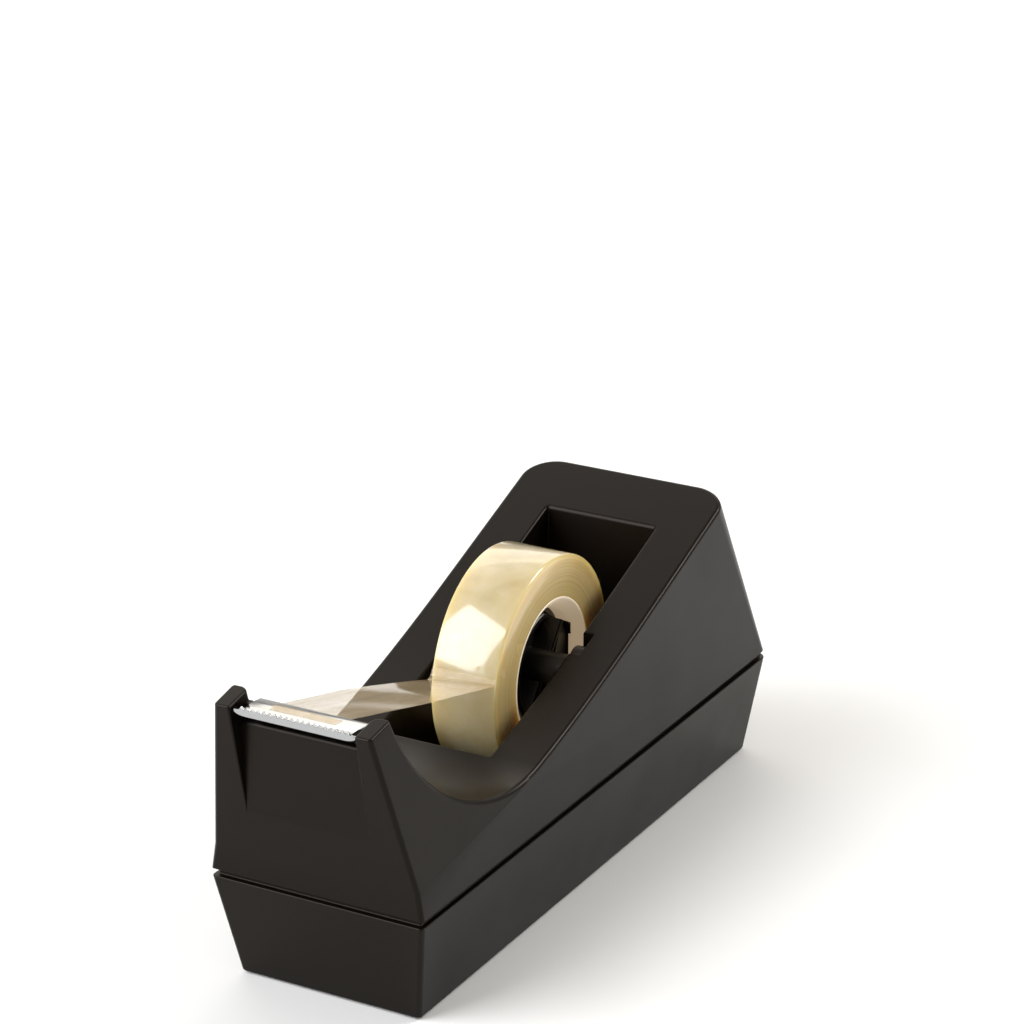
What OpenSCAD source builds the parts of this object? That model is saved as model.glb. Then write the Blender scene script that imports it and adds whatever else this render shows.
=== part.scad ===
// Weighted desk tape dispenser: wedge housing on a tapered base, steel cutter and a lift-out tape roll.
// +X is across the body, -Y is the cutter end, +Z is up. The origin is the middle of the footprint.

/* [Body] */
// Width at the parting line
body_w = 48.4; // [44:0.1:70]
// Length at the parting line
body_len = 153.2; // [140:0.1:175]
// Height of the lower shell's top edge
parting_z = 22.8; // [18:0.1:30]
// Height of the shadow groove between the shells
groove_h = 1.4; // [0.8:0.1:2.5]
// Depth of the shadow groove
groove_d = 1.3; // [0.8:0.1:2]
// Wall thickness of both shells
wall = 2.3; // [1.6:0.1:3]
// How far each side runs in at the foot
foot_side = 3.5; // [0:0.1:6]
// How far the front runs in at the foot
foot_front = 4.5; // [0:0.1:8]
// How far the rear runs in at the foot
foot_rear = 2.7; // [0:0.1:8]

/* [Housing] */
// How far the cutter end stands out past the parting line
nose_out = 7.1; // [4:0.1:10]
// Height where the front starts to lean out
nose_bend_z = 30; // [25:0.5:40]
// Height of the two cheeks beside the cutter
cheek_z = 63.8; // [55:0.1:70]
// Rise of the cheeks' top for each millimetre towards the rear
cheek_rise = 0.19; // [0:0.01:0.3]
// Half width over the cheeks
cheek_out = 17.5; // [16:0.1:24]
// Half width of the gap between the cheeks
cheek_in = 13.9; // [10:0.1:15]
// Radius of the saddle behind the cutter
saddle_r = 38.3; // [25:0.1:50]
// Distance from the front to the middle of the saddle
saddle_y = 37; // [30:0.5:45]
// Height of the saddle's centre
saddle_z = 75.8; // [60:0.1:90]
// Angle of the sloping top
slope_deg = 19.4; // [15:0.1:25]
// Where the sloping top ends, from the front
rear_top_y = 132.2; // [120:0.1:145]
// Radius of the rear upright corners
rear_r = 5; // [2:0.5:10]

/* [Well] */
// Half width of the tape well
well_half = 13.1; // [10:0.1:16]
// Front end of the well
well_front = 45.7; // [40:0.1:50]
// Rear end of the well
well_rear = 117.8; // [110:0.1:125]
// Height of the well floor
well_floor_z = 13.8; // [10:0.1:18]
// Thickness of the wall each side of the well
rail_wall = 2.6; // [2:0.1:4]

/* [Tape] */
// Tape width
tape_w = 15; // [12:1:19]
// Outer radius of the roll
roll_r = 24.5; // [18:0.5:27]
// Outer radius of the core
core_r = 15.4; // [14:0.1:16]
// Inner radius of the core
core_bore_r = 12.7; // [12:0.1:13]
// Length of the flare in each end of the core
core_flare = 2.3; // [0.5:0.1:4]
// Distance from the front to the axle
axle_y = 82; // [75:0.1:90]
// Height of the axle
axle_z = 42.6; // [38:0.1:46]
// Thickness of the free end of the tape
leader_t = 0.25; // [0.1:0.05:0.4]

/* [Hub] */
// Radius of the axle pin
pin_r = 2.5; // [2:0.1:3]
// Half width of the keyed axle ends
key_half = 3.1; // [2.5:0.1:4]
// Half height of the keyed axle ends
key_half_h = 6.3; // [5:0.1:8]
// How far the hub sits in from the face of the roll
hub_recess = 1.3; // [0:0.1:4]
// Thickness of the hub's drum wall
drum_wall = 1.6; // [1:0.1:2.5]
// Angle of the rib across the hub
rib_deg = 50; // [0:1:180]

/* [Cutter] */
// Number of teeth
teeth = 20; // [12:1:26]
// Tooth spacing
tooth_pitch = 1.25; // [1:0.05:2]
// Tooth height
tooth_h = 0.7; // [0.5:0.1:1.5]
// Sheet thickness
sheet_t = 0.5; // [0.3:0.1:0.8]
// Height of the top of the tape platform
platform_z = 63.2; // [61:0.1:64]

/* [Base fittings] */
// Width of the ballast slab
ballast_w = 32; // [20:0.5:36]
// Length of the ballast slab
ballast_len = 108; // [60:1:115]
// Thickness of the ballast slab
ballast_h = 7.8; // [4:0.1:8.5]
// Width of the non-slip pad
pad_w = 34.4; // [20:0.1:36]
// Length of the non-slip pad
pad_len = 136.4; // [100:0.1:138]
// Thickness of the non-slip pad
pad_t = 1.4; // [1:0.1:2]
// How far the pad stands below the lower shell
pad_proud = 0.4; // [0.2:0.1:1]

/* [Hidden] */
$fn = 96;
half_w = body_w / 2;
mid_y = (body_len - nose_out) / 2;
housing_z = parting_z + groove_h;
far = 90;
// Slope of the front above the bend, and the sloping top as a line through its tangent on the saddle
nose_slope = nose_out / (cheek_z - nose_bend_z);
tan_y = saddle_y + saddle_r * sin(slope_deg);
tan_z = saddle_z - saddle_r * cos(slope_deg);
rear_top_z = tan_z + tan(slope_deg) * (rear_top_y - tan_y);
rear_lean = atan((body_len - rear_top_y) / (rear_top_z - housing_z));
// Side facet that narrows the neck: its normal as a yaw and a lean
neck_a = [half_w, 0, housing_z];
neck_b = [cheek_out, -nose_out, cheek_z];
neck_d = [half_w, 45, 38.6];
neck_n = cross(neck_d - neck_a, neck_b - neck_a);
neck_stop_y = 53;
neck_yaw = atan(neck_n[1] / neck_n[0]);
neck_lean = asin(neck_n[2] / norm(neck_n));
// Recess between the cheeks, and the front face at a height
panel_top_z = 59.7;
panel_low_z = 36.5;
panel_in = 3.3;
function nose_y(z) = -nose_slope * (z - nose_bend_z);
// Blade support behind the panel's top edge
support_y = -1.6;
support_z = platform_z - sheet_t - 0.05;
// Solid block behind the front panel that carries the cutter
block_foot_z = 56;
block_rear_y = 5;
// The cutter's rear edge turns down behind this line
lip_bend_y = -1.1;
lip_slope = 0.3;
lip_len = 2.4;
// Screws that hold the shells together
screw_at = [[-13.5, 14], [13.5, 14], [-13.5, 141], [13.5, 141]];
screw_seat_z = 3.4;
boss_foot_z = 5.7;
boss_r = 3.6;
shell_foot_z = pad_proud;
floor_top_z = 3;
ballast_y = body_len / 2 + 1.5;
pad_y = body_len / 2 + 0.9;
tub_foot_z = well_floor_z - 2;
key_foot_z = axle_z - key_half_h;
drum_r = core_bore_r - 0.1;
hub_end_x = tape_w / 2 - hub_recess;
boss_end_x = 12.4;
key_x0 = well_half - 0.2;
key_x1 = well_half + rail_wall - 0.2;

// Put a shape drawn from the front of the parting line at the footprint's middle
module placed() {
    translate([0, -mid_y, 0]) children();
}

// A side-view outline carried across the body
module across(half, pts) {
    translate([-half, 0, 0])
        rotate([90, 0, 90])
            linear_extrude(2 * half)
                polygon(pts);
}

// A front-view outline carried along the body
module along(y0, y1, pts) {
    translate([0, y1, 0])
        rotate([90, 0, 0])
            linear_extrude(y1 - y0)
                polygon(pts);
}

module both_sides() {
    children();
    mirror([1, 0, 0]) children();
}

module x_rod(r, x0, x1, y, z) {
    translate([x0, y, z])
        rotate([0, 90, 0])
            cylinder(r = r, h = x1 - x0);
}

// Rear face position at a height, with the wall taken off
function rear_at(z, t) = body_len - tan(rear_lean) * (z - housing_z) - t / cos(rear_lean);

// Height of the sloping top at y, with the wall taken off
function slope_z(y, t) = rear_top_z - t / cos(slope_deg) - tan(slope_deg) * (rear_top_y - y);

// Side view of the housing before the saddle is cut, inset by t and carried down to foot_z
function housing_side(t, foot_z) = [
    [t, foot_z],
    [rear_at(foot_z, t), foot_z],
    [rear_at(rear_top_z - t, t), slope_z(rear_at(rear_top_z - t, t), t)],
    [saddle_y + (saddle_r + t) * sin(slope_deg), saddle_z - (saddle_r + t) * cos(slope_deg)],
    [saddle_y, cheek_z + cheek_rise * (saddle_y + nose_out) - t],
    [nose_y(cheek_z - t) + t, cheek_z - t],
    [t, nose_bend_z]
];

module saddle_cut(t) {
    x_rod(saddle_r + t, -far / 2, far / 2, saddle_y, saddle_z);
}

// Takes the upright rear corner off along the leaning rear face
module rear_corner_cut(t) {
    r = rear_r - t;
    translate([0, body_len, housing_z])
        rotate([rear_lean, 0, 0])
            translate([half_w - t - r, -t - r, -far])
                difference() {
                    cube([far, far, 2 * far]);
                    translate([0, 0, -1]) cylinder(r = r, h = 2 * far + 2);
                }
}

// Takes the side in towards the cheek, as far back as the foot of the saddle
module neck_cut(t) {
    intersection() {
        translate(neck_a)
            rotate([0, 0, neck_yaw])
                rotate([0, -neck_lean, 0])
                    translate([-t, -far, -far])
                        cube([far, 2 * far, 2 * far]);
        box(0, far, -far, neck_stop_y, 0, far);
    }
}

module housing_block(t, foot_z) {
    difference() {
        across(half_w - t, housing_side(t, foot_z));
        saddle_cut(t);
        both_sides() rear_corner_cut(t);
        both_sides() neck_cut(t);
    }
}

// Everything under the housing's top surface, for trimming the inner walls
module under_top() {
    difference() {
        across(half_w - 1, housing_side(0.6, 1));
        saddle_cut(0.6);
    }
}

module box(x0, x1, y0, y1, z0, z1) {
    translate([x0, y0, z0]) cube([x1 - x0, y1 - y0, z1 - z0]);
}

// Keyed slot in the inner face of one rail, open at the top
module axle_slot() {
    box(well_half - 1, well_half + rail_wall,
        axle_y - key_half - 0.1, axle_y + key_half + 0.1, key_foot_z - 0.05, far);
}

module front_panel_cuts() {
    // Recess over the panel, running out at its lower end
    across(cheek_in, [
        [nose_y(panel_low_z) - 0.5, panel_low_z],
        [nose_y(panel_top_z) + panel_in, panel_top_z],
        [nose_y(panel_top_z) + panel_in, panel_top_z + 0.5],
        [-far, panel_top_z + 0.5],
        [-far, panel_low_z]
    ]);
    // Gap under the cutter, then the seat that follows the cutter's underside
    box(-cheek_in, cheek_in, -far, support_y, panel_top_z, far);
    across(cheek_in, [
        [-far, support_z],
        [lip_bend_y - 0.1, support_z],
        [lip_bend_y - 0.1 + 8, support_z - 8 * lip_slope],
        [lip_bend_y - 0.1 + 8, far],
        [-far, far]
    ]);
}

module upper_housing() {
    color([0.05, 0.05, 0.05])
        placed()
            difference() {
                union() {
                    difference() {
                        housing_block(0, housing_z);
                        housing_block(wall, housing_z - 1);
                    }
                    intersection() {
                        union() {
                            // Tub around the well
                            box(-well_half - rail_wall, well_half + rail_wall,
                                well_front - wall, well_rear + wall, tub_foot_z, far);
                            box(-cheek_in - 2, cheek_in + 2, -far, block_rear_y, block_foot_z, far);
                            // Pads behind the axle slots
                            both_sides()
                                box(well_half, well_half + rail_wall + 2,
                                    axle_y - 6, axle_y + 6, key_foot_z - 4, far);
                            // Screw bosses
                            for (p = screw_at)
                                translate([p[0], p[1], boss_foot_z]) cylinder(r = boss_r, h = far);
                        }
                        under_top();
                    }
                }
                box(-well_half, well_half, well_front, well_rear, well_floor_z, far);
                both_sides() axle_slot();
                front_panel_cuts();
                for (p = screw_at)
                    translate([p[0], p[1], boss_foot_z - 1]) cylinder(r = 1.5, h = 13);
            }
}

// Tapered block of the lower shell, inset by t
module base_block(t, z0, z1) {
    k = (z0 - shell_foot_z) / (parting_z - shell_foot_z);
    m = (z1 - shell_foot_z) / (parting_z - shell_foot_z);
    x0 = half_w - foot_side * (1 - k) - t;
    x1 = half_w - foot_side * (1 - m) - t;
    intersection() {
        across(half_w + 2, [
            [foot_front * (1 - k) + t, z0],
            [body_len - foot_rear * (1 - k) - t, z0],
            [body_len - foot_rear * (1 - m) - t, z1],
            [foot_front * (1 - m) + t, z1]
        ]);
        along(-5, body_len + 5, [[-x0, z0], [x0, z0], [x1, z1], [-x1, z1]]);
    }
}

// Rectangular ring of the locating lip
module lip_ring(inset_out, inset_in, z0, z1, rear_out) {
    difference() {
        box(-half_w + inset_out, half_w - inset_out, inset_out, body_len - rear_out, z0, z1);
        box(-half_w + inset_in, half_w - inset_in, inset_in, body_len - 7.2, z0 - 1, z1 + 1);
    }
}

module lower_shell() {
    color([0.05, 0.05, 0.05])
        placed()
            difference() {
                union() {
                    difference() {
                        base_block(0, shell_foot_z, parting_z);
                        base_block(wall, floor_top_z, parting_z + 1);
                    }
                    lip_ring(groove_d, 4.8, parting_z - 1.5, housing_z, groove_d);
                    lip_ring(2.9, 4.8, housing_z - 0.5, housing_z + 3, 5.3);
                    // Seats for the screws
                    for (p = screw_at)
                        translate([p[0], p[1], floor_top_z - 0.5])
                            cylinder(r = 5, h = boss_foot_z - 0.1 - floor_top_z + 0.5);
                    // Stops at each end of the ballast
                    for (y = [-1, 1])
                        translate([-12, ballast_y + y * (ballast_len / 2 + 1.2) - 0.75, floor_top_z - 0.5])
                            cube([24, 1.5, 6]);
                }
                translate([0, pad_y, shell_foot_z - 1])
                    linear_extrude(2) square([pad_w + 0.4, pad_len + 0.4], center = true);
                for (p = screw_at) {
                    translate([p[0], p[1], 0]) cylinder(r = 1.8, h = 10);
                    translate([p[0], p[1], 0]) cylinder(r = 3.3, h = screw_seat_z);
                }
            }
}

module ballast_slab() {
    color([0.35, 0.35, 0.36])
        placed()
            translate([-ballast_w / 2, ballast_y - ballast_len / 2, floor_top_z + 0.05])
                cube([ballast_w, ballast_len, ballast_h]);
}

module non_slip_pad() {
    color([0.08, 0.08, 0.08])
        placed()
            translate([-pad_w / 2, pad_y - pad_len / 2, 0])
                cube([pad_w, pad_len, pad_t]);
}

module case_screw() {
    translate([0, 0, screw_seat_z - 1.7])
        difference() {
            union() {
                cylinder(r = 2.9, h = 1.7);
                cylinder(r = 1.45, h = 13);
            }
            // Cross recess
            for (a = [0, 90])
                rotate([0, 0, a]) translate([-1.6, -0.4, -0.1]) cube([3.2, 0.8, 1.1]);
        }
}

module case_screws() {
    color([0.6, 0.6, 0.62])
        placed()
            for (p = screw_at)
                translate([p[0], p[1], 0]) case_screw();
}

// Saw edge from left to right, one peak to a tooth
function saw(z) = [for (i = [0 : 2 * teeth]) [(i - teeth) * tooth_pitch / 2, z + (i % 2) * tooth_h]];

module cutter_blade() {
    blade_half = cheek_in - 0.3;
    plate_half = 12.2;
    front_y = -6;
    strip_foot_z = platform_z - 1.2;
    color([0.75, 0.75, 0.77])
        placed()
            union() {
                // Toothed strip
                along(front_y, front_y + sheet_t, concat(
                    [[-blade_half, platform_z + 0.1]],
                    saw(platform_z + 0.1),
                    [[blade_half, platform_z + 0.1], [blade_half, platform_z - 0.3],
                     [blade_half - 2.6, strip_foot_z],
                     [-blade_half + 2.6, strip_foot_z], [-blade_half, platform_z - 0.3]]
                ));
                // Flat platform with its rear edge turned down
                across(plate_half, [
                    [front_y + sheet_t / 2, platform_z - sheet_t],
                    [lip_bend_y, platform_z - sheet_t],
                    [lip_bend_y + lip_len, platform_z - sheet_t - lip_len * lip_slope],
                    [lip_bend_y + lip_len + 0.3, platform_z - (lip_len + 0.2) * lip_slope],
                    [lip_bend_y + 0.1, platform_z],
                    [front_y + sheet_t / 2, platform_z]
                ]);
            }
}

module axle_pin() {
    color([0.12, 0.12, 0.12])
        placed()
            x_rod(pin_r, -key_x1 + 1, key_x1 - 1, axle_y, axle_z);
}

// Keyed end that stands in a slot and stops the axle turning
module axle_key() {
    difference() {
        union() {
            box(key_x0, key_x1, axle_y - key_half, axle_y + key_half,
                key_foot_z, axle_z + key_half_h - key_half);
            x_rod(key_half, key_x0, key_x1, axle_y, axle_z + key_half_h - key_half);
        }
        x_rod(pin_r + 0.03, key_x0 - 1, key_x1 - 0.95, axle_y, axle_z);
    }
}

module axle_keys() {
    color([0.05, 0.05, 0.05])
        placed()
            both_sides() axle_key();
}

// One half of the hub, open on its outer side, with a rib across it
module hub_half() {
    difference() {
        union() {
            difference() {
                x_rod(drum_r, 0.05, hub_end_x, axle_y, axle_z);
                x_rod(drum_r - drum_wall, 1.6, hub_end_x + 1, axle_y, axle_z);
            }
            x_rod(3.6, 0.05, boss_end_x, axle_y, axle_z);
            translate([1, axle_y, axle_z])
                rotate([rib_deg, 0, 0])
                    translate([0, -drum_r + 0.8, -0.8])
                        cube([hub_end_x - 1.4, 2 * drum_r - 1.6, 1.6]);
        }
        x_rod(pin_r + 0.08, -1, boss_end_x + 1, axle_y, axle_z);
    }
}

module hub_left() {
    color([0.04, 0.04, 0.04])
        placed()
            mirror([1, 0, 0]) hub_half();
}

module hub_right() {
    color([0.04, 0.04, 0.04])
        placed()
            hub_half();
}

module ring(r_out, r_in) {
    difference() {
        x_rod(r_out, -tape_w / 2, tape_w / 2, axle_y, axle_z);
        x_rod(r_in, -tape_w / 2 - 1, tape_w / 2 + 1, axle_y, axle_z);
    }
}

module tape_core() {
    color([0.92, 0.91, 0.88])
        placed()
            translate([0, axle_y, axle_z])
                rotate([0, 90, 0])
                    rotate_extrude()
                        polygon([
                            [core_bore_r, -tape_w / 2 + core_flare],
                            [core_r - 0.5, -tape_w / 2],
                            [core_r, -tape_w / 2],
                            [core_r, tape_w / 2],
                            [core_r - 0.5, tape_w / 2],
                            [core_bore_r, tape_w / 2 - core_flare]
                        ]);
}

module tape_roll() {
    color([0.93, 0.88, 0.68])
        placed()
            ring(roll_r, core_r + 0.05);
}

module tape_leader() {
    // The tape leaves the roll at this height and lies on the cutter's platform
    peel_z = 50;
    peel_y = axle_y - sqrt(pow(roll_r + 0.1, 2) - pow(peel_z - axle_z, 2));
    z0 = platform_z + 0.05;
    color([0.93, 0.9, 0.75, 0.6])
        placed()
            across(tape_w / 2, [
                [peel_y, peel_z],
                [-0.8, z0],
                [-5.2, z0],
                [-5.2, z0 + leader_t],
                [-0.75, z0 + leader_t],
                [peel_y - 0.1, peel_z + leader_t]
            ]);
}

upper_housing();
lower_shell();
ballast_slab();
non_slip_pad();
case_screws();
cutter_blade();
axle_pin();
axle_keys();
hub_left();
hub_right();
tape_core();
tape_roll();
tape_leader();
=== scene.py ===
"""Desktop tape dispenser: a black wedge housing, a steel cutter and a tape roll on a lift-out hub.

Lengths of the object are in millimetres. Y runs from the front of the parting line to the rear and Z from the
desk up, and to_frame() turns a finished mesh into the frame's metres.
"""

import math

import bmesh
import bpy
from mathutils import Matrix, Vector


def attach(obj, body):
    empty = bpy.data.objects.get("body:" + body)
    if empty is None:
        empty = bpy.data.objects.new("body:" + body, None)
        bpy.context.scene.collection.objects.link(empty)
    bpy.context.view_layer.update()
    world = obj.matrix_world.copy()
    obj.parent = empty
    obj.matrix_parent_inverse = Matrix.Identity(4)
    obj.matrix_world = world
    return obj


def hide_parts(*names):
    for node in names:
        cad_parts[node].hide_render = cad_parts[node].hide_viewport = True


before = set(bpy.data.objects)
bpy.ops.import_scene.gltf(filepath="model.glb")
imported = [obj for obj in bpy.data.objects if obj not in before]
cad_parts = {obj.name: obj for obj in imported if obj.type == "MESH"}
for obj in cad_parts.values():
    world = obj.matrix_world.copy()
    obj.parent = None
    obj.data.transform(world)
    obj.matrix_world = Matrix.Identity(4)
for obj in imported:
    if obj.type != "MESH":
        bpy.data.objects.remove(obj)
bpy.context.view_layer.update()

# ---------------------------------------------------------------- sizes, mm

MID_Y = 73.05  # the footprint's middle, behind the front of the parting line
REACH = 40.0  # how far a tool goes sideways or forwards to clear the object
ABOVE = 100.0  # a height that clears the object

HALF_W = 24.2
BODY_LEN = 153.2
PARTING_Z = 22.8
HOUSING_Z = 24.2
SHELL_FOOT_Z = 0.4
FOOT_SIDE, FOOT_FRONT, FOOT_REAR = 3.5, 4.5, 2.7
SHELL_FRONT_R, SHELL_REAR_R = 1.1, 2.6
SHELL_WALL, SHELL_FRONT_WALL, SHELL_REAR_WALL, SHELL_FLOOR = 4.8, 6.8, 7.2, 3.0
LIP_IN, LIP_DEEP = 1.3, 1.5  # the lip inside the parting groove: its inset, and how far it sinks in
PAD_HALF, PAD_FRONT, PAD_REAR, PAD_ROOF = 17.4, 9.1, 145.9, 1.4

BEND_Z = 30.0  # the front is upright below this and leans out above it
NOSE_OUT = 7.1
CHEEK_Z, CHEEK_RISE = 63.8, 0.19  # front of the cheeks' top, and its rise towards the rear
CHEEK_IN, CHEEK_OUT = 13.9, 17.5
CHEEK_CORNER = 1.8
NECK_END_Y, NECK_END_Z = 45.0, 38.6

SADDLE_Y, SADDLE_Z, SADDLE_R = 37.0, 75.8, 38.3
SADDLE_END = 14.0  # degrees past the bottom where the rails take over
REAR_Y, REAR_Z = 132.2, 68.7
REAR_SLOPE = 0.365
CORNER_TOP, CORNER_LOW = 8.0, 3.2  # rear upright corners, at the top and at the parting line

WELL_HALF = 13.1
WELL_FRONT, WELL_REAR, WELL_FLOOR = 45.7, 117.8, 13.8
WELL_WALL, WELL_SKIN = 2.3, 2.0  # end walls and floor of the well
RAIL_WALL = 2.6
SLOT_HALF, SLOT_FOOT = 3.2, 36.25

PANEL_TOP, PANEL_LOW, PANEL_IN = 59.7, 36.5, 3.3  # recess under the cutter
GAP_Y = -1.6  # rear of the gap below the cutter's platform

PLATFORM_Z, SHEET_T = 63.2, 0.5
LIP_Y, LIP_LEN, LIP_SLOPE = -1.1, 2.4, 0.3
BAND_FALL = 0.12  # slope of the cutter's rear edge
BLADE_Y = -6.0
TEETH, TOOTH_PITCH, TOOTH_H = 20, 1.25, 0.7
STRIP_DROP, STRIP_T = 1.2, 0.45
LANDING_HALF = 12.2

AXLE_Y, AXLE_Z = 82.0, 42.6
TAPE_HALF = 7.5
FILM_END, FILM_T = -3.0, 0.06
ROLL_R, CORE_R, CORE_BORE, DRUM_R = 24.5, 15.4, 12.7, 12.6
CORE_RIM, CORE_FLARE = 0.5, 2.3
HUB_END, BOSS_END, BOSS_R = 6.2, 12.4, 3.6
HUB_RIM, HUB_SUNK = 1.3, 4.6
RIB_DEG, RIB_HALF = 50.0, 0.8
FLAT_Y, FLAT_Z = 10.7, 6.3  # where the hub's two flats meet, from the axle
KEY_IN, KEY_OUT, KEY_HALF, KEY_HALF_H = 12.9, 15.5, 3.1, 6.3
PIN_R = 2.5

# ---------------------------------------------------------------- mesh tools


def new_object(name, bm):
    bmesh.ops.recalc_face_normals(bm, faces=bm.faces)
    mesh = bpy.data.meshes.new(name)
    bm.to_mesh(mesh)
    bm.free()
    obj = bpy.data.objects.new(name, mesh)
    bpy.context.scene.collection.objects.link(obj)
    return obj


def loft(name, rings, closed=False):
    """A solid through rings of the same number of points, capped at both ends unless closed."""
    bm = bmesh.new()
    rows = [[bm.verts.new(p) for p in ring] for ring in rings]
    n = len(rows[0])
    pairs = list(zip(rows, rows[1:]))
    if closed:
        pairs.append((rows[-1], rows[0]))
    for a, b in pairs:
        for i in range(n):
            j = (i + 1) % n
            bm.faces.new((a[i], a[j], b[j], b[i]))
    if not closed:
        bm.faces.new(rows[0][::-1])
        bm.faces.new(rows[-1])
    return new_object(name, bm)


def across(name, x0, x1, outline):
    """A side-view outline of (y, z) points carried from x0 to x1."""
    return loft(name, [[(x, y, z) for y, z in outline] for x in (x0, x1)])


def along(name, y0, y1, outline):
    """A front-view outline of (x, z) points carried from y0 to y1."""
    return loft(name, [[(x, y, z) for x, z in outline] for y in (y0, y1)])


def block(name, x0, x1, y0, y1, z0, z1):
    return across(name, x0, x1, [(y0, z0), (y1, z0), (y1, z1), (y0, z1)])


def about_axle(x, radius, turn):
    """The point at that radius from the axle, turn being a share of a whole turn."""
    a = 2 * math.pi * turn
    return x, AXLE_Y + radius * math.cos(a), AXLE_Z + radius * math.sin(a)


def turned(name, profile, steps=128):
    """A ring turned about the axle from a closed profile of (x, radius) points."""
    rings = [[about_axle(x, r, k / steps) for x, r in profile] for k in range(steps)]
    return loft(name, rings, closed=True)


def drum(name, x0, x1, radius, steps=96, edge=0.0):
    """A solid disc on the axle's line, chamfered by edge unless that is 0."""
    ends = [(x0, radius - edge), (x0 + edge, radius), (x1 - edge, radius), (x1, radius - edge)]
    if edge == 0:
        ends = [(x0, radius), (x1, radius)]
    return loft(name, [[about_axle(x, r, k / steps) for k in range(steps)] for x, r in ends])


def keep_evaluated(obj):
    """Turns the object's modifiers into its mesh."""
    graph = bpy.context.evaluated_depsgraph_get()
    mesh = bpy.data.meshes.new_from_object(obj.evaluated_get(graph))
    obj.modifiers.clear()
    old = obj.data
    obj.data = mesh
    bpy.data.meshes.remove(old)


def combine(obj, tool, how):
    """Cuts tool from obj, joins it on or keeps what they share, and drops tool."""
    m = obj.modifiers.new("combine", "BOOLEAN")
    m.operation = how
    m.solver = "EXACT"
    m.object = tool
    keep_evaluated(obj)
    bpy.data.objects.remove(tool)
    return obj


def cut(obj, *tools):
    for tool in tools:
        combine(obj, tool, "DIFFERENCE")
    return obj


def join(obj, *tools):
    for tool in tools:
        combine(obj, tool, "UNION")
    return obj


def shared(obj, tool):
    return combine(obj, tool, "INTERSECT")


def simplify(obj, degrees=0.4):
    """Drops edges between faces that lie in one plane."""
    bm = bmesh.new()
    bm.from_mesh(obj.data)
    bmesh.ops.remove_doubles(bm, verts=bm.verts, dist=0.002)
    bmesh.ops.dissolve_limit(bm, angle_limit=math.radians(degrees), verts=bm.verts, edges=bm.edges)
    bm.to_mesh(obj.data)
    bm.free()
    return obj


def round_edges(obj, radius_at, widest, segments=4, sharp=24.0):
    """Rounds each sharp edge by radius_at(middle, direction), up to widest."""
    bm = bmesh.new()
    bm.from_mesh(obj.data)
    layers = bm.edges.layers.float
    weight = layers.get("bevel_weight_edge") or layers.new("bevel_weight_edge")
    for e in bm.edges:
        if len(e.link_faces) != 2:
            continue
        if math.degrees(e.calc_face_angle(0.0)) < sharp:
            continue
        a, b = e.verts[0].co, e.verts[1].co
        r = radius_at((a + b) / 2, (b - a).normalized())
        e[weight] = min(1.0, r / widest)
    bm.to_mesh(obj.data)
    bm.free()
    m = obj.modifiers.new("round", "BEVEL")
    m.limit_method = "WEIGHT"
    m.width = widest
    m.segments = segments
    m.use_clamp_overlap = False
    m.miter_outer = "MITER_ARC"
    keep_evaluated(obj)
    return obj


def hold_width(obj, half):
    """Brings any point that rounding pushed past the half width back to it."""
    for v in obj.data.vertices:
        v.co.x = max(-half, min(half, v.co.x))
    return obj


def smooth(obj, degrees=32.0):
    """Smooth shading that keeps edges sharper than this."""
    for p in obj.data.polygons:
        p.use_smooth = True
    obj.data.set_sharp_from_angle(angle=math.radians(degrees))
    return obj


def even_normals(obj):
    m = obj.modifiers.new("even normals", "WEIGHTED_NORMAL")
    m.keep_sharp = True
    return obj


def to_frame(obj):
    """Millimetres from the parting line's front to metres in the frame."""
    obj.data.transform(Matrix.Scale(0.001, 4) @ Matrix.Translation((0, -MID_Y, 0)))
    return obj


# ---------------------------------------------------------------- materials

MIX_A, MIX_B, MIX_OUT = 6, 7, 2  # a Mix node's sockets for colours


def material(name):
    mat = bpy.data.materials.new(name)
    mat.use_nodes = True
    tree = mat.node_tree
    return mat, tree, tree.nodes["Principled BSDF"]


def coordinates(tree, scale):
    where = tree.nodes.new("ShaderNodeTexCoord")
    mapping = tree.nodes.new("ShaderNodeMapping")
    mapping.inputs["Scale"].default_value = scale
    tree.links.new(where.outputs["Object"], mapping.inputs["Vector"])
    return mapping.outputs["Vector"]


def noise(tree, vector, scale, detail=2.0, roughness=0.5):
    n = tree.nodes.new("ShaderNodeTexNoise")
    n.inputs["Scale"].default_value = scale
    n.inputs["Detail"].default_value = detail
    n.inputs["Roughness"].default_value = roughness
    tree.links.new(vector, n.inputs["Vector"])
    return n.outputs["Fac"]


def spread(tree, value, low, high):
    m = tree.nodes.new("ShaderNodeMapRange")
    m.inputs["From Min"].default_value = 0.3
    m.inputs["From Max"].default_value = 0.7
    m.inputs["To Min"].default_value = low
    m.inputs["To Max"].default_value = high
    tree.links.new(value, m.inputs["Value"])
    return m.outputs["Result"]


def maths(tree, operation, *values):
    node = tree.nodes.new("ShaderNodeMath")
    node.operation = operation
    for socket, value in zip(node.inputs, values):
        tree.links.new(value, socket)
    return node.outputs["Value"]


def vector_maths(tree, operation, vector, other=None):
    node = tree.nodes.new("ShaderNodeVectorMath")
    node.operation = operation
    tree.links.new(vector, node.inputs[0])
    if other:
        node.inputs[1].default_value = other
    return node.outputs["Value" if operation == "LENGTH" else "Vector"]


def ramp(tree, value, low, high, low_at=0.0, high_at=1.0):
    """Colour that runs from low, at a value of low_at, to high at high_at."""
    node = tree.nodes.new("ShaderNodeValToRGB")
    for stop, colour, at in zip(node.color_ramp.elements, (low, high), (low_at, high_at)):
        stop.position = at
        stop.color = (*colour, 1)
    tree.links.new(value, node.inputs["Fac"])
    return node.outputs["Color"]


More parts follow.
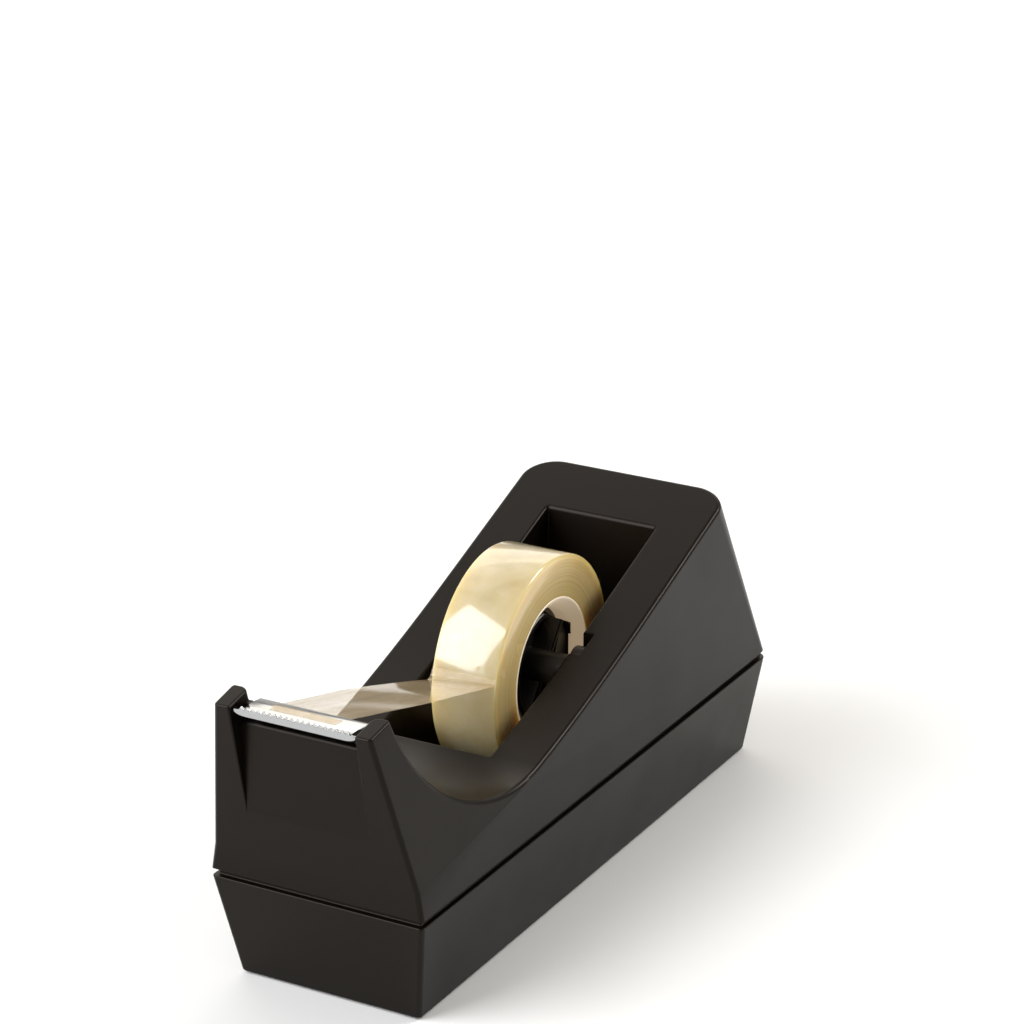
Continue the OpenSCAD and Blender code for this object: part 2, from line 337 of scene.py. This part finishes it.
def bump(tree, shader, height, strength, distance):
    b = tree.nodes.new("ShaderNodeBump")
    b.inputs["Strength"].default_value = strength
    b.inputs["Distance"].default_value = distance
    tree.links.new(height, b.inputs["Height"])
    tree.links.new(b.outputs["Normal"], shader.inputs["Normal"])


def moulded(name, colour, rough_low, rough_high, grain=0.12, gloss=0.5, tint=(1, 1, 1)):
    """Moulded plastic with a fine spark-eroded grain and a little unevenness."""
    mat, tree, shader = material(name)
    shader.inputs["Base Color"].default_value = (*colour, 1)
    shader.inputs["Specular IOR Level"].default_value = gloss
    shader.inputs["Specular Tint"].default_value = (*tint, 1)
    at = coordinates(tree, (1, 1, 1))
    rough = spread(tree, noise(tree, at, 45, 3), rough_low, rough_high)
    tree.links.new(rough, shader.inputs["Roughness"])
    bump(tree, shader, noise(tree, at, 2600, 2), grain, 0.00004)
    return mat


def brushed(name, colour, rough, stretch):
    """Rolled sheet metal with fine lines along one direction."""
    mat, tree, shader = material(name)
    shader.inputs["Base Color"].default_value = (*colour, 1)
    shader.inputs["Metallic"].default_value = 1.0
    lines = noise(tree, coordinates(tree, stretch), 900, 3)
    tree.links.new(spread(tree, lines, rough, rough + 0.14), shader.inputs["Roughness"])
    bump(tree, shader, lines, 0.1, 0.00002)
    return mat


def make_housing_plastic():
    return moulded("housing_black", (0.0034, 0.0022, 0.0014), 0.29, 0.37, gloss=0.155, tint=(1, 0.88, 0.80))


def make_hub_plastic():
    return moulded("hub_black", (0.0034, 0.0027, 0.0020), 0.30, 0.38, 0.1, gloss=0.4, tint=(1, 0.95, 0.9))


def make_core():
    """White plastic with a faint warm glow, for the light that reaches it through the tape."""
    mat = moulded("core_white", (0.88, 0.82, 0.72), 0.30, 0.40, 0.05)
    shader = mat.node_tree.nodes["Principled BSDF"]
    shader.inputs["Emission Color"].default_value = (1.0, 0.74, 0.45, 1)
    shader.inputs["Emission Strength"].default_value = 0.28
    return mat


def make_wound_tape():
    """Clear film wound into a honey-coloured solid, with faint turns on its sides."""
    mat, tree, shader = material("wound_tape")
    shader.inputs["Subsurface Weight"].default_value = 0.85
    shader.inputs["Subsurface Radius"].default_value = (1.0, 0.75, 0.3)
    shader.inputs["Subsurface Scale"].default_value = 0.007
    shader.inputs["IOR"].default_value = 1.52
    shader.inputs["Coat Weight"].default_value = 1.0
    shader.inputs["Coat IOR"].default_value = 1.6
    shader.inputs["Coat Roughness"].default_value = 0.09
    # Distance from the axle drives the turns, which only show on the flat sides
    where = tree.nodes.new("ShaderNodeTexCoord")
    middle = (0, (AXLE_Y - MID_Y) / 1000, AXLE_Z / 1000)
    from_axle = vector_maths(tree, "SUBTRACT", where.outputs["Object"], middle)
    outwards = vector_maths(tree, "MULTIPLY", from_axle, (0, 1, 1))
    turns = tree.nodes.new("ShaderNodeTexNoise")
    turns.noise_dimensions = "1D"
    turns.inputs["Scale"].default_value = 1800
    turns.inputs["Detail"].default_value = 3
    tree.links.new(vector_maths(tree, "LENGTH", outwards), turns.inputs["W"])
    facing = tree.nodes.new("ShaderNodeSeparateXYZ")
    tree.links.new(where.outputs["Normal"], facing.inputs["Vector"])
    side = maths(tree, "ABSOLUTE", facing.outputs["X"])
    ridges = maths(tree, "MULTIPLY", turns.outputs["Fac"], side)
    sides = ramp(tree, turns.outputs["Fac"], (0.62, 0.47, 0.19), (0.72, 0.58, 0.28), 0.3, 0.75)
    # Cloudy patches where the outer turns don't quite touch
    cloud = noise(tree, coordinates(tree, (1, 1, 1)), 110, 5, 0.6)
    face = ramp(tree, cloud, (0.47, 0.38, 0.20), (0.56, 0.48, 0.30), 0.35, 0.7)
    blend = tree.nodes.new("ShaderNodeMix")
    blend.data_type = "RGBA"
    tree.links.new(side, blend.inputs["Factor"])
    tree.links.new(face, blend.inputs[MIX_A])
    tree.links.new(sides, blend.inputs[MIX_B])
    tree.links.new(blend.outputs[MIX_OUT], shader.inputs["Base Color"])
    tree.links.new(spread(tree, cloud, 0.20, 0.28), shader.inputs["Roughness"])
    bump(tree, shader, ridges, 0.12, 0.00003)
    return mat


def make_film():
    """A single clear film: glossy, mostly see-through and softly streaked along its length."""
    mat, tree, shader = material("tape_film")
    shader.inputs["Base Color"].default_value = (0.62, 0.45, 0.22, 1)
    shader.inputs["IOR"].default_value = 1.5
    shader.inputs["Coat Weight"].default_value = 1.0
    shader.inputs["Coat Roughness"].default_value = 0.06
    streaks = noise(tree, coordinates(tree, (1, 0.06, 0.06)), 300, 2)
    # Clear when seen face on, and denser at a glancing angle
    glance = tree.nodes.new("ShaderNodeLayerWeight")
    glance.inputs["Blend"].default_value = 0.09
    cover = maths(tree, "ADD", glance.outputs["Facing"], spread(tree, streaks, 0.04, 0.20))
    tree.links.new(cover, shader.inputs["Alpha"])
    tree.links.new(spread(tree, streaks, 0.08, 0.16), shader.inputs["Roughness"])
    return mat


def make_rubber():
    return moulded("pad_rubber", (0.012, 0.012, 0.012), 0.8, 0.95, 0.6)


def make_cast():
    return moulded("ballast_cast", (0.09, 0.09, 0.095), 0.6, 0.75, 0.5)


housing_plastic = make_housing_plastic()
hub_plastic = make_hub_plastic()
core_plastic = make_core()
wound_tape = make_wound_tape()
film = make_film()
strip_steel = brushed("strip_steel", (0.36, 0.365, 0.37), 0.10, (0.05, 1, 1))
cutter_steel = brushed("cutter_steel", (0.60, 0.60, 0.59), 0.08, (0.05, 1, 1))
screw_steel = brushed("screw_steel", (0.62, 0.62, 0.64), 0.30, (1, 1, 0.2))
pad_rubber = make_rubber()
ballast_cast = make_cast()


def dress(obj, mat, slot, body, *nodes):
    """Gives a finished piece its material and body, and hides the CAD nodes that it stands for; slot is not
    used.
    """
    obj.data.materials.clear()
    obj.data.materials.append(mat)
    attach(obj, body)
    if nodes:
        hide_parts(*nodes)
    return obj


# ---------------------------------------------------------------- upper housing


def rail_z(y):
    """Height of the rails' top behind the saddle, a slightly hollow slope."""
    a = math.radians(SADDLE_END)
    y0, z0 = SADDLE_Y + SADDLE_R * math.sin(a), SADDLE_Z - SADDLE_R * math.cos(a)
    run = REAR_Y - y0
    chord = (REAR_Z - z0) / run
    t = (y - y0) / run
    if t > 1:
        return REAR_Z + REAR_SLOPE * (y - REAR_Y)
    start = (math.tan(a) - chord) * t * (1 - t) ** 2
    end = (REAR_SLOPE - chord) * t * t * (1 - t)
    return z0 + chord * (y - y0) + run * (start - end)


def side_outline():
    """Side view of the housing, from the foot of the front round over the saddle to the rear."""
    points = [(0, HOUSING_Z), (0, BEND_Z), (-NOSE_OUT, CHEEK_Z)]
    top = CHEEK_Z + CHEEK_RISE * (NOSE_OUT + 0.2)
    start = -math.acos((SADDLE_Z - top) / SADDLE_R)
    stop = math.radians(SADDLE_END)
    saddle_steps, rail_steps = 40, 14
    for k in range(saddle_steps + 1):
        a = start + (stop - start) * k / saddle_steps
        points.append((SADDLE_Y + SADDLE_R * math.sin(a), SADDLE_Z - SADDLE_R * math.cos(a)))
    rail_y = points[-1][0]
    for k in range(1, rail_steps + 1):
        y = rail_y + (REAR_Y - rail_y) * k / rail_steps
        points.append((y, rail_z(y)))
    # Past the rear, which the plan cuts off
    points += [(REAR_Y + 20, rail_z(REAR_Y + 20)), (REAR_Y + REACH, HOUSING_Z)]
    return points


def plan_ring(z):
    """Plan of the housing at height z: flat sides and a leaning rear with rounded corners."""
    rise = (z - HOUSING_Z) / (REAR_Z - HOUSING_Z)
    rear = BODY_LEN - (BODY_LEN - REAR_Y) * rise
    r = CORNER_LOW + (CORNER_TOP - CORNER_LOW) * rise
    front = -20  # ahead of the nose, so that the side view alone shapes the front
    ring = [(-HALF_W, front, z), (HALF_W, front, z)]
    steps = 12
    for side in (1, -1):
        for k in range(steps + 1):
            a = math.pi / 2 * (k / steps if side > 0 else 1 - k / steps)
            ring.append((side * (HALF_W - r + r * math.cos(a)), rear - r + r * math.sin(a), z))
    return ring


def neck_tool(side):
    """Wedge that takes the side in towards a cheek, as far back as the foot of the saddle."""
    a = Vector((HALF_W, 0, HOUSING_Z))
    b = Vector((CHEEK_OUT, -NOSE_OUT, CHEEK_Z))
    c = Vector((HALF_W, NECK_END_Y, NECK_END_Z))
    n = (c - a).cross(b - a)

    def x_at(y, z):
        return a.x - (n.y * (y - a.y) + n.z * (z - a.z)) / n.x

    front, rear, top, outside = -30, 53, 95, 60
    ring_in, ring_out = [], []
    for y, z in ((front, 0), (rear, 0), (rear, top), (front, top)):
        ring_in.append((side * x_at(y, z), y, z))
        ring_out.append((side * outside, y, z))
    return loft("neck_tool", [ring_in, ring_out])


def nose_y(z):
    """Front of the leaning nose at height z."""
    return -NOSE_OUT * (z - BEND_Z) / (CHEEK_Z - BEND_Z)


def recess_tool():
    """Recess under the cutter that runs out at its lower end."""
    depth_y = nose_y(PANEL_TOP) + PANEL_IN
    return across("recess_tool", -CHEEK_IN, CHEEK_IN, [
        (nose_y(PANEL_LOW) - 0.5, PANEL_LOW), (depth_y, PANEL_TOP), (depth_y, PANEL_TOP + 0.5),
        (-REACH, PANEL_TOP + 0.5), (-REACH, PANEL_LOW)])


def seat_tool():
    """Room for the cutter between the cheeks, and the gap in front under it."""
    under = PLATFORM_Z - SHEET_T - 0.05
    rear = 9  # behind the cheeks
    return across("seat_tool", -CHEEK_IN, CHEEK_IN, [
        (-REACH, PANEL_TOP), (GAP_Y, PANEL_TOP), (GAP_Y, under), (LIP_Y - 0.1, under),
        (rear, under - (rear - LIP_Y) * LIP_SLOPE), (rear, ABOVE), (-REACH, ABOVE)])


def cheek_corner_tool(side):
    """Rounds the inner rear corner of a cheek in plan, following the steep end of the saddle."""
    r = CHEEK_CORNER
    behind = 12  # behind the cheeks
    levels, level_h, steps = 7, 0.8, 8
    rings = []
    for k in range(levels):
        z = PLATFORM_Z - 1.2 + k * level_h
        rear = SADDLE_Y - math.sqrt(SADDLE_R ** 2 - (SADDLE_Z - z) ** 2)
        ring = [(side * (CHEEK_IN - 1), behind, z), (side * (CHEEK_IN - 1), rear - r, z)]
        for i in range(steps + 1):
            a = math.pi / 2 * i / steps
            ring.append((side * (CHEEK_IN + r - r * math.cos(a)), rear - r + r * math.sin(a), z))
        ring.append((side * (CHEEK_IN + r), behind, z))
        rings.append(ring)
    return loft("cheek_corner", rings)


def make_housing():
    plan = loft("plan", [plan_ring(10), plan_ring(90)])
    body = shared(across("upper_housing_moulding", -REACH, REACH, side_outline()), plan)
    cut(body, neck_tool(1), neck_tool(-1))
    tub_half = WELL_HALF + RAIL_WALL
    join(body, block("tub", -tub_half, tub_half, WELL_FRONT - WELL_WALL, WELL_REAR + WELL_WALL,
                     WELL_FLOOR - WELL_SKIN, HOUSING_Z + 1))
    cut(body, block("well", -WELL_HALF, WELL_HALF, WELL_FRONT, WELL_REAR, WELL_FLOOR, ABOVE))
    for side in (1, -1):
        x0, x1 = sorted((side * (WELL_HALF - 1), side * tub_half))
        cut(body, block("slot", x0, x1, AXLE_Y - SLOT_HALF, AXLE_Y + SLOT_HALF, SLOT_FOOT, ABOVE))
    cut(body, recess_tool(), seat_tool(), cheek_corner_tool(1), cheek_corner_tool(-1))
    simplify(body)

    widest = 1.1

    def radius_at(p, d):
        x = abs(p.x)
        if p.z < HOUSING_Z - 0.5:
            return 0.3  # tub and well floor
        if p.z < HOUSING_Z + 0.5:
            return 0.35  # along the parting groove
        if x < tub_half + 0.2 and WELL_FRONT - 0.5 < p.y < WELL_REAR + 0.5:
            if abs(p.y - AXLE_Y) < SLOT_HALF + 0.3 and x > WELL_HALF - 0.1:
                return 0.25  # round the slots
            front_rim = p.y < WELL_FRONT + 0.8 and p.z > 37
            on_rim = front_rim or abs(p.z - rail_z(p.y)) < 0.6
            return 0.7 if on_rim else 0.4
        if p.y < 4 and p.z > CHEEK_Z - 0.5 and abs(d.z) < 0.5:
            return 0.5  # round the cheeks' tops
        if p.y < 6 and x < CHEEK_IN + CHEEK_CORNER:
            if x > CHEEK_IN - 0.1:
                return 0.5 if p.y < nose_y(p.z) + 0.5 else 0.0  # the cheeks' inner edges
            return widest if abs(p.z - PANEL_TOP) < 0.3 else 0.0  # over the recess
        return 0.95

    round_edges(body, radius_at, widest)
    hold_width(body, HALF_W - 0.01)
    smooth(body)
    even_normals(body)
    return dress(to_frame(body), housing_plastic, "housing_plastic", "case", "upper_housing")


# ---------------------------------------------------------------- lower shell


def shell_ring(z, steps=6):
    """Plan of the tapered lower shell at height z."""
    rise = (z - SHELL_FOOT_Z) / (PARTING_Z - SHELL_FOOT_Z)
    x = HALF_W - FOOT_SIDE * (1 - rise)
    front = FOOT_FRONT * (1 - rise)
    rear = BODY_LEN - FOOT_REAR * (1 - rise)
    corners = [(x, front, SHELL_FRONT_R, -90), (x, rear, SHELL_REAR_R, 0),
               (-x, rear, SHELL_REAR_R, 90), (-x, front, SHELL_FRONT_R, 180)]
    ring = []
    for cx, cy, r, start in corners:
        sx, sy = (1 if cx > 0 else -1), (1 if cy > BODY_LEN / 2 else -1)
        for k in range(steps + 1):
            a = math.radians(start + 90 * k / steps)
            ring.append((cx - sx * r + r * math.cos(a), cy - sy * r + r * math.sin(a), z))
    return ring


def make_shell():
    body = loft("lower_shell_moulding", [shell_ring(SHELL_FOOT_Z), shell_ring(PARTING_Z)])
    lip_half, inside_half = HALF_W - LIP_IN, HALF_W - SHELL_WALL
    join(body, block("lip", -lip_half, lip_half, LIP_IN, BODY_LEN - LIP_IN,
                     PARTING_Z - LIP_DEEP, HOUSING_Z - 0.02))
    cut(body, block("inside", -inside_half, inside_half, SHELL_FRONT_WALL, BODY_LEN - SHELL_REAR_WALL,
                    SHELL_FLOOR, PARTING_Z + REACH))
    cut(body, block("pad_recess", -PAD_HALF, PAD_HALF, PAD_FRONT, PAD_REAR, -5, PAD_ROOF))
    simplify(body)

    def radius_at(p, d):
        if p.z < SHELL_FOOT_Z + 0.3:
            return 0.5
        if abs(p.z - PARTING_Z) < 0.1:
            return 0.35
        return 0.1

    round_edges(body, radius_at, 0.5, 3)
    smooth(body)
    even_normals(body)
    return dress(to_frame(body), housing_plastic, "housing_plastic", "case", "lower_shell")


# ---------------------------------------------------------------- cutter


def make_cutter():
    """A toothed strip across the nose and the flat landing behind it."""
    half, root = CHEEK_IN - 0.3, PLATFORM_Z + 0.1
    low = PLATFORM_Z - STRIP_DROP
    outline = [(-half, root)]
    for i in range(2 * TEETH + 1):
        outline.append(((i - TEETH) * TOOTH_PITCH / 2, root + (TOOTH_H if i % 2 else 0)))
    outline.append((half, root))
    corner_w, corner_h, steps = 2.6, 0.95, 8
    for side in (1, -1):
        for k in range(steps + 1):
            a = math.pi / 2 * (k / steps if side > 0 else 1 - k / steps)
            x = half - corner_w + corner_w * math.cos(a)
            outline.append((side * x, low + corner_h - corner_h * math.sin(a)))
    strip = along("cutter_strip", BLADE_Y, BLADE_Y + STRIP_T, outline)
    smooth(round_edges(strip, lambda p, d: 0.06, 0.06, 1), 40)

    # The landing's rear edge turns down in a soft bend
    bend = ((BLADE_Y + 0.3, 0), (-3.5, 0), (LIP_Y - 0.5, -0.01), (LIP_Y, -0.03), (LIP_Y + 0.5, -0.08),
            (LIP_Y + LIP_LEN, -BAND_FALL * LIP_LEN))
    upper = [(y, PLATFORM_Z + z) for y, z in bend]
    lower = [(y - 0.05, PLATFORM_Z + z - SHEET_T * 0.8) for y, z in bend]
    landing = across("cutter_landing", -LANDING_HALF, LANDING_HALF, upper + lower[::-1])
    smooth(round_edges(landing, lambda p, d: 0.08, 0.08, 2), 30)
    dress(to_frame(strip), strip_steel, "cutter_steel", "case", "cutter_blade")
    dress(to_frame(landing), cutter_steel, "cutter_steel", "case")


# ---------------------------------------------------------------- roll and hub


def mirrored(half_profile):
    """The whole (x, radius) profile from its half at positive x."""
    return half_profile + [(-x, r) for x, r in half_profile[::-1]]


def make_tape():
    edge = 0.35
    half_tape = [(TAPE_HALF, CORE_R + 0.05), (TAPE_HALF, ROLL_R - edge),
                 (TAPE_HALF - edge * 0.3, ROLL_R - edge * 0.3), (TAPE_HALF - edge, ROLL_R)]
    tape = turned("tape_windings", mirrored(half_tape), 192)
    smooth(tape, 50)
    dress(to_frame(tape), wound_tape, "tape_wound", "roll", "tape_roll")


def make_tape_core():
    """The core stands out of the tape a little and flares at both ends."""
    end, edge = TAPE_HALF + 0.02, 0.12
    half_core = [(end - CORE_FLARE - 0.4, CORE_BORE), (end - CORE_FLARE, CORE_BORE + 0.1),
                 (end - 0.15, CORE_R - CORE_RIM - 0.1), (end, CORE_R - CORE_RIM + edge),
                 (end, CORE_R - edge), (end - edge, CORE_R)]
    core = turned("tape_core_ring", mirrored(half_core), 160)
    smooth(core, 35)
    dress(to_frame(core), core_plastic, "core_plastic", "roll", "tape_core")


def make_hub(side):
    """One half of the hub: a drum with a sunk face, a rib across it and a boss on the axle."""
    name = "hub_half_right" if side > 0 else "hub_half_left"
    inner = 0.05
    body = drum(name, inner, HUB_END, DRUM_R, 128, 0.3)
    cut(body, drum("sunk", HUB_END - HUB_SUNK, HUB_END + 5, DRUM_R - HUB_RIM, 128))
    a = math.radians(RIB_DEG)
    reach = DRUM_R - 0.6
    rib = []
    for s, t in ((-1, -1), (1, -1), (1, 1), (-1, 1)):
        rib.append((AXLE_Y + s * reach * math.cos(a) - t * RIB_HALF * math.sin(a),
                    AXLE_Z + s * reach * math.sin(a) + t * RIB_HALF * math.cos(a)))
    join(body, across("rib", HUB_END - HUB_SUNK - 0.3, HUB_END - 0.1, rib))
    # A solid web at the rear, with two flats that leave a gap to the core
    flat_y, flat_z, step = AXLE_Y + FLAT_Y, AXLE_Z + FLAT_Z, 14.0
    join(body, across("web", inner + 0.5, HUB_END - 0.5, [
        (AXLE_Y + 1, AXLE_Z - 6), (flat_y, AXLE_Z - 6), (flat_y, flat_z), (AXLE_Y + 7.5, AXLE_Z + 8.0)]))
    cut(body, across("flats", 2.6, 20, [
        (flat_y, AXLE_Z - step), (flat_y, flat_z), (flat_y - step, flat_z + step * 0.54),
        (flat_y + step, flat_z + step), (flat_y + step, AXLE_Z - step)]))
    join(body, drum("boss", inner + 0.1, BOSS_END, BOSS_R, 64, 0.4))
    cut(body, drum("bore", -5, 20, PIN_R + 0.08, 48))
    simplify(body, 0.2)
    round_edges(body, lambda p, d: 0.12, 0.12, 2, 40)
    smooth(body, 30)
    to_frame(body)
    if side < 0:
        body.data.transform(Matrix.Scale(-1, 4, (1, 0, 0)))
        body.data.flip_normals()
    node = "hub_right" if side > 0 else "hub_left"
    return dress(body, hub_plastic, "hub_plastic", "roll", node)


def key_outline():
    """Side view of a key: chamfered at the foot and round at the top."""
    foot, chamfer = AXLE_Z - KEY_HALF_H, 0.4
    points = [(AXLE_Y - KEY_HALF, foot + chamfer), (AXLE_Y - KEY_HALF + chamfer, foot),
              (AXLE_Y + KEY_HALF - chamfer, foot), (AXLE_Y + KEY_HALF, foot + chamfer)]
    top = AXLE_Z + KEY_HALF_H - KEY_HALF
    steps = 16
    for k in range(steps + 1):
        a = math.pi * k / steps
        points.append((AXLE_Y + KEY_HALF * math.cos(a), top + KEY_HALF * math.sin(a)))
    return points


def make_axle():
    pin = drum("axle_rod", -KEY_OUT + 1, KEY_OUT - 1, PIN_R, 64, 0.3)
    smooth(pin, 40)
    dress(to_frame(pin), hub_plastic, "hub_plastic", "axle", "axle_pin")
    for side, name in ((1, "axle_key_right"), (-1, "axle_key_left")):
        x0, x1 = sorted((side * KEY_IN, side * KEY_OUT))
        key = across(name, x0, x1, key_outline())
        round_edges(key, lambda p, d: 0.3, 0.3, 3, 40)
        smooth(key, 35)
        dress(to_frame(key), hub_plastic, "hub_plastic", "axle")
        if side > 0:
            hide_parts("axle_keys")


# ---------------------------------------------------------------- free end of the tape


def leader_path(s):
    """Side view of the film as (y, z) points from roll to cutter.

    It is the view at s across the film, from -1 at the far edge to 1 at the near edge.
    The film peels off the front of the roll, drops straight for a little, further at the far edge, and
    bends over into a straight run that ends flat on the cutter.
    """
    slack = (1 - s) / 2
    # How far the film's outer face looks up from the horizontal, degrees
    peel_lean, drop_lean, bend_lean, run_lean = 15.0, 27.0, 33.0, 105.0
    a = math.radians(peel_lean)
    r = ROLL_R + 0.04
    start = (AXLE_Y - r * math.cos(a), AXLE_Z + r * math.sin(a))
    land_z, edge_y = PLATFORM_Z + 0.06, LIP_Y + 0.1
    drop, radius = 0.2 + 0.8 * slack, 0.6 + 1.0 * slack
    # The bend's last lean depends on where it ends, so it is found in a few passes
    for _ in range(4):
        bend = radius * math.radians(run_lean - bend_lean)
        legs = ((0.6, peel_lean, drop_lean, 4), (drop, drop_lean, bend_lean, 8),
                (bend, bend_lean, run_lean, 16))
        points = [start]
        for length, lean_a, lean_b, steps in legs:
            for k in range(steps):
                a = math.radians(lean_a + (lean_b - lean_a) * (k + 0.5) / steps)
                y, z = points[-1]
                points.append((y - math.sin(a) * length / steps, z - math.cos(a) * length / steps))
        y0, z0 = points[-1]
        run_lean = 90 + math.degrees(math.atan2(land_z - z0, y0 - edge_y))
    run_steps, flat_steps = 40, 4
    for k in range(1, run_steps + 1):
        t = k / run_steps
        ripple = 0.30 * math.sin(4 * math.pi * t + 2.0 * s) * t * (1 - t)
        sag = (0.3 - 1.1 * slack) * math.sin(math.pi * t) + ripple
        points.append((y0 + (edge_y - y0) * t, z0 + (land_z - z0) * t - sag))
    points += [(edge_y + (FILM_END - edge_y) * k / flat_steps, land_z) for k in range(1, flat_steps + 1)]
    return points


def make_leader():
    columns = []
    strips = 16
    for j in range(strips + 1):
        s = j / strips * 2 - 1
        columns.append([(s * TAPE_HALF, y, z) for y, z in leader_path(s)])
    bm = bmesh.new()
    grid = [[bm.verts.new(p) for p in column] for column in columns]
    for a, b in zip(grid, grid[1:]):
        for i in range(len(a) - 1):
            bm.faces.new((a[i], a[i + 1], b[i + 1], b[i]))
    leader = new_object("tape_free_end", bm)
    m = leader.modifiers.new("film", "SOLIDIFY")
    m.thickness = FILM_T
    m.offset = 0.0
    keep_evaluated(leader)
    smooth(leader, 60)
    return dress(to_frame(leader), film, "tape_film", "axle", "tape_leader")


# ---------------------------------------------------------------- hidden pieces


def dress_hidden():
    """Gives the pieces inside and under the case, which keep their CAD meshes, their materials."""
    for node, mat, name in (("ballast_slab", ballast_cast, "ballast"),
                            ("non_slip_pad", pad_rubber, "pad_rubber"),
                            ("case_screws", screw_steel, "screw_steel")):
        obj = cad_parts[node]
        obj.data.materials.clear()
        obj.data.materials.append(mat)


# ---------------------------------------------------------------- studio, in metres

CAMERA_AT, CAMERA_LOOK = (0.33769, -0.59958, 0.34313), (-0.4552, 0.8153, -0.3580)
CAMERA_LENS = 126.6  # mm, on a sensor 36 mm wide


def make_floor():
    mat, tree, shader = material("floor_paper")
    mottle = noise(tree, coordinates(tree, (1, 1, 1)), 6, 2)
    paper = ramp(tree, mottle, (0.86, 0.86, 0.855), (0.88, 0.88, 0.875))
    tree.links.new(paper, shader.inputs["Base Color"])
    shader.inputs["Roughness"].default_value = 0.7
    bm = bmesh.new()
    half = 8.0  # metres
    corners = ((-half, -half), (half, -half), (half, half), (-half, half))
    bm.faces.new([bm.verts.new((x, y, 0)) for x, y in corners])
    floor = new_object("floor", bm)
    floor.data.materials.append(mat)


def soft_box(name, direction, distance, size, brightness, colour):
    """A rectangular light facing the object, as bright at any size."""
    aim = Vector((0, 0, 0.04))
    data = bpy.data.lights.new(name, "AREA")
    data.shape = "RECTANGLE"
    data.size, data.size_y = size
    data.energy = brightness * math.pi * size[0] * size[1]
    data.color = colour
    obj = bpy.data.objects.new(name, data)
    bpy.context.scene.collection.objects.link(obj)
    obj.location = aim + Vector(direction).normalized() * distance
    obj.rotation_euler = (aim - obj.location).to_track_quat("-Z", "Y").to_euler()


def make_studio():
    make_floor()
    scene = bpy.context.scene
    world = bpy.data.worlds.new("studio")
    world.use_nodes = True
    background = world.node_tree.nodes["Background"]
    background.inputs["Color"].default_value = (1.0, 0.99, 0.975, 1)
    background.inputs["Strength"].default_value = 0.30
    scene.world = world
    soft_box("key_front_left", (-0.50, -0.70, 0.52), 1.2, (0.95, 1.1), 6.3, (0.98, 0.99, 1.0))
    soft_box("rim_rear_right", (0.556, 0.526, 0.609), 1.2, (0.4, 0.4), 16.0, (1.0, 0.97, 0.93))
    soft_box("backdrop_high", (-0.455, 0.411, 0.789), 1.3, (1.2, 0.7), 0.9, (1.0, 0.96, 0.9))
    soft_box("backdrop_low", (-0.455, 0.815, 0.475), 1.3, (1.5, 0.65), 1.45, (1.0, 0.95, 0.86))
    soft_box("fill_top", (0.05, -0.2, 1.0), 1.6, (1.2, 1.2), 0.5, (1.0, 0.98, 0.95))
    scene.view_settings.view_transform = "Standard"
    scene.view_settings.look = "None"


def make_camera():
    data = bpy.data.cameras.new("camera")
    data.sensor_width = 36
    data.lens = CAMERA_LENS
    data.clip_start, data.clip_end = 0.05, 50
    obj = bpy.data.objects.new("camera", data)
    scene = bpy.context.scene
    scene.collection.objects.link(obj)
    obj.location = CAMERA_AT
    obj.rotation_euler = Vector(CAMERA_LOOK).to_track_quat("-Z", "Y").to_euler()
    scene.camera = obj


make_housing()
make_shell()
make_cutter()
make_tape()
make_tape_core()
make_hub(1)
make_hub(-1)
make_axle()
make_leader()
dress_hidden()
make_studio()
make_camera()
